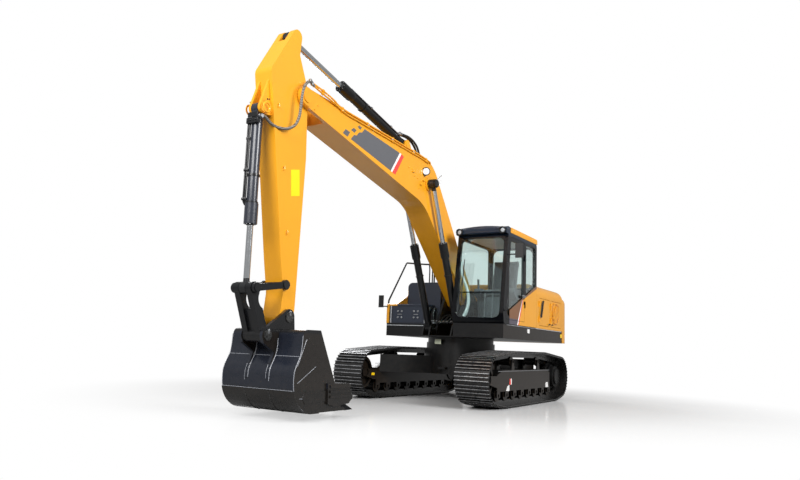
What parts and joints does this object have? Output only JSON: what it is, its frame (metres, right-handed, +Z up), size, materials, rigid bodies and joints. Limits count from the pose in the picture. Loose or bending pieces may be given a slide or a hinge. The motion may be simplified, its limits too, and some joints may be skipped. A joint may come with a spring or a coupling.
{
  "type": "crawler excavator",
  "caption": "Tracked hydraulic excavator with cab, counterweight house, cranked boom, digging arm and toothed bucket on a linkage",
  "frame": {"origin": "On the ground directly below the swing axis, with the house facing straight ahead", "axes": "+X forward along the boom, +Y to the machine's left (the cab side), +Z up"},
  "size_m": [8.934, 3.177, 5.0093],
  "materials": {
    "body_yellow": "gloss",
    "cylinder_black": "gloss",
    "chrome_rod": "polished",
    "pin_steel": "satin",
    "bucket_black": "satin",
    "tooth_steel": "worn",
    "cab_black": "satin",
    "window_glass": "clear",
    "chassis_black": "satin",
    "trim_plastic": "matte",
    "cast_yellow": "painted",
    "chassis_grey": "satin",
    "engine_metal": "cast",
    "track_steel": "worn",
    "slate_blue": "satin",
    "seat_cloth": "woven"
  },
  "bodies": {
    "undercarriage": {"car_body": "chassis_black", "track_frames": "chassis_black", "left_track": "track_steel", "right_track": "track_steel", "drive_sprockets": "chassis_grey", "idlers": "chassis_black", "track_rollers": "chassis_black"},
    "upper": {"upper_deck": "chassis_black", "deck_pins": "pin_steel", "counterweight": "cast_yellow", "cab_shell": "cab_black", "cab_roof": "body_yellow", "cab_windows": "window_glass", "operator_seat": "seat_cloth", "control_consoles": "trim_plastic", "engine_block": "engine_metal", "house_side_panels": "body_yellow", "centre_cover": "body_yellow", "oil_tank": "slate_blue", "tool_box": "slate_blue", "handrails": "cab_black", "mirrors": "trim_plastic", "work_lamps": "trim_plastic"},
    "cab_door": {"cab_door": "cab_black", "cab_door_window": "window_glass"},
    "engine_hood": {"engine_hood": "body_yellow"},
    "left_front_door": {"left_front_door": "body_yellow"},
    "left_rear_door": {"left_rear_door": "body_yellow"},
    "right_side_door": {"right_side_door": "body_yellow"},
    "tool_box_lid": {"tool_box_lid": "slate_blue"},
    "boom": {"boom": "body_yellow", "boom_pins": "pin_steel"},
    "boom_barrels": {"boom_cylinder_barrels": "cylinder_black"},
    "boom_rods": {"boom_cylinder_rods": "chrome_rod"},
    "arm": {"arm": "body_yellow", "arm_pins": "pin_steel"},
    "arm_barrel": {"arm_cylinder_barrel": "cylinder_black"},
    "arm_rod": {"arm_cylinder_rod": "chrome_rod"},
    "bucket_barrel": {"bucket_cylinder_barrel": "cylinder_black"},
    "bucket_rod": {"bucket_cylinder_rod": "chrome_rod"},
    "guide_links": {"guide_links": "bucket_black"},
    "bucket": {"bucket": "bucket_black", "bucket_teeth": "tooth_steel", "bucket_pins": "pin_steel"},
    "bucket_link": {"bucket_link": "bucket_black"}
  },
  "joints": [
    {"name": "swing", "type": "hinge", "parent": "undercarriage", "child": "upper", "pos_m": [0, 0, 1.05], "axis": [0, 0, 1], "continuous": true},
    {"name": "boom_lift", "type": "hinge", "parent": "upper", "child": "boom", "pos_m": [0.1, 0, 1.9], "axis": [0, -1, 0], "range_deg": [-68, 30]},
    {"name": "boom_barrel_tilt", "type": "hinge", "parent": "upper", "child": "boom_barrels", "pos_m": [0.78, 0, 1.3], "axis": [0, -1, 0], "range_deg": [-69.1, 30.5]},
    {"name": "boom_rod_stroke", "type": "slide", "parent": "boom_barrels", "child": "boom_rods", "axis": [0.4189, 0, 0.908], "range_m": [-0.952, 0.42]},
    {"name": "arm_swing", "type": "hinge", "parent": "boom", "child": "arm", "pos_m": [5.32988, 0, 4.14153], "axis": [0, -1, 0], "range_deg": [-30, 85]},
    {"name": "arm_barrel_tilt", "type": "hinge", "parent": "boom", "child": "arm_barrel", "pos_m": [2.48315, 0, 4.33579], "axis": [0, -1, 0], "range_deg": [-1.2, 0.43]},
    {"name": "arm_rod_stroke", "type": "slide", "parent": "arm_barrel", "child": "arm_rod", "axis": [0.9819, 0, 0.1893], "range_m": [-1.006, 0.356]},
    {"name": "bucket_curl", "type": "hinge", "parent": "arm", "child": "bucket", "pos_m": [5.37037, 0, 1.24181], "axis": [0, -1, 0], "range_deg": [-102, 70]},
    {"name": "bucket_barrel_tilt", "type": "hinge", "parent": "arm", "child": "bucket_barrel", "pos_m": [6.00011, 0, 3.77185], "axis": [0, -1, 0], "range_deg": [-1.1, 1.6]},
    {"name": "bucket_rod_stroke", "type": "slide", "parent": "bucket_barrel", "child": "bucket_rod", "axis": [-0.0153, 0, -0.9999], "range_m": [-0.392, 0.571]},
    {"name": "guide_link_turn", "type": "hinge", "parent": "arm", "child": "guide_links", "pos_m": [5.45987, 0, 1.6361], "axis": [0, -1, 0], "range_deg": [-66.9, 46]},
    {"name": "bucket_link_turn", "type": "hinge", "parent": "bucket", "child": "bucket_link", "pos_m": [5.73956, 0, 1.00613], "axis": [0, -1, 0], "range_deg": [-40.9, 59.6]},
    {"name": "cab_door_hinge", "type": "hinge", "parent": "upper", "child": "cab_door", "pos_m": [0.218, 1.383, 2], "axis": [0, 0, 1], "range_deg": [0, 110]},
    {"name": "engine_hood_hinge", "type": "hinge", "parent": "upper", "child": "engine_hood", "pos_m": [-0.896, 0, 2.261], "axis": [0, 1, 0], "range_deg": [0, 65]},
    {"name": "left_front_door_hinge", "type": "hinge", "parent": "upper", "child": "left_front_door", "pos_m": [-0.644, 1.371, 1.7], "axis": [0, 0, -1], "range_deg": [0, 105]},
    {"name": "left_rear_door_hinge", "type": "hinge", "parent": "upper", "child": "left_rear_door", "pos_m": [-1.354, 1.371, 1.7], "axis": [0, 0, -1], "range_deg": [0, 105]},
    {"name": "right_side_door_hinge", "type": "hinge", "parent": "upper", "child": "right_side_door", "pos_m": [-0.904, -1.371, 1.7], "axis": [0, 0, 1], "range_deg": [0, 105]},
    {"name": "tool_box_lid_hinge", "type": "hinge", "parent": "upper", "child": "tool_box_lid", "pos_m": [0.23, -0.9, 1.779], "axis": [0, -1, 0], "range_deg": [0, 75]}
  ],
  "couplings": [
    {"joint": "boom_barrel_tilt", "follows": "boom_lift", "ratio": 1.015},
    {"joint": "boom_rod_stroke", "follows": "boom_lift", "m_per_rad": 0.801},
    {"joint": "arm_barrel_tilt", "follows": "arm_swing", "ratio": -0.014},
    {"joint": "arm_rod_stroke", "follows": "arm_swing", "m_per_rad": -0.677},
    {"joint": "bucket_barrel_tilt", "follows": "bucket_curl", "ratio": -0.015},
    {"joint": "bucket_rod_stroke", "follows": "bucket_curl", "m_per_rad": -0.32},
    {"joint": "guide_link_turn", "follows": "bucket_curl", "ratio": 0.655},
    {"joint": "bucket_link_turn", "follows": "bucket_curl", "ratio": -0.584}
  ]
}
